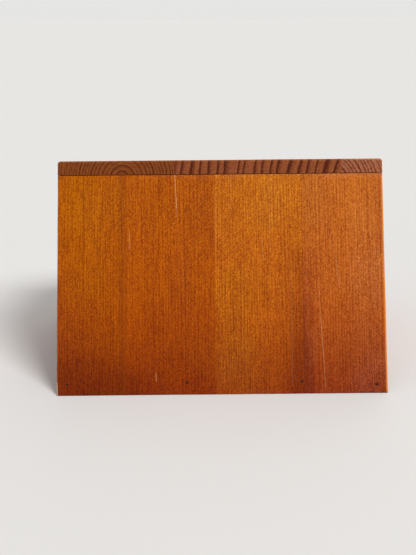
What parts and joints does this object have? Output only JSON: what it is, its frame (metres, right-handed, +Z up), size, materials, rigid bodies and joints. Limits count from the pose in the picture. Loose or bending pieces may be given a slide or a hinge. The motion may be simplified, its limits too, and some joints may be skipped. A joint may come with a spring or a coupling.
{
  "type": "recipe card box",
  "caption": "Wooden recipe card box with a front that leans back and a flush, sloping lid on two brass butt hinges; it holds 3 by 5 inch cards.",
  "frame": {"origin": "on the surface that the box stands on, under the middle of its bounding box", "axes": "+X across the box to the right as seen from the front, +Y from the front to the hinges, +Z up"},
  "size_m": [0.16, 0.1253, 0.106],
  "materials": {
    "front_wood": "orange-brown stain under semi-gloss varnish",
    "lid_wood": "orange-brown stain under semi-gloss varnish, darker on the end grain",
    "side_wood": "orange-brown stain under semi-gloss varnish",
    "back_wood": "orange-brown stain under semi-gloss varnish",
    "bottom_wood": "thin stain, satin",
    "hinge_brass": "aged satin brass",
    "screw_brass": "aged satin brass",
    "brad_steel": "blackened steel"
  },
  "bodies": {
    "box": {"front_stave_1": "front_wood", "front_stave_2": "front_wood", "front_stave_3": "front_wood", "front_stave_4": "front_wood", "back_stave_1": "back_wood", "back_stave_2": "back_wood", "back_stave_3": "back_wood", "back_stave_4": "back_wood", "left_side_front": "side_wood", "left_side_rear": "side_wood", "right_side_front": "side_wood", "right_side_rear": "side_wood", "bottom_front": "bottom_wood", "bottom_rear": "bottom_wood", "front_brads": "brad_steel", "back_brads": "brad_steel", "left_brads": "brad_steel", "right_brads": "brad_steel", "left_hinge_box_leaf": "hinge_brass", "left_hinge_pin": "hinge_brass", "left_hinge_box_screws": "screw_brass", "right_hinge_box_leaf": "hinge_brass", "right_hinge_pin": "hinge_brass", "right_hinge_box_screws": "screw_brass"},
    "lid": {"lid_stave_1": "lid_wood", "lid_stave_2": "lid_wood", "lid_stave_3": "lid_wood", "left_hinge_lid_leaf": "hinge_brass", "left_hinge_lid_screws": "screw_brass", "right_hinge_lid_leaf": "hinge_brass", "right_hinge_lid_screws": "screw_brass"}
  },
  "joints": [
    {"name": "lid_hinge", "type": "hinge", "parent": "box", "child": "lid", "pos_m": [0, 0.06115, 0.08187], "axis": [-1, 0, 0], "range_deg": [0, 200]}
  ]
}
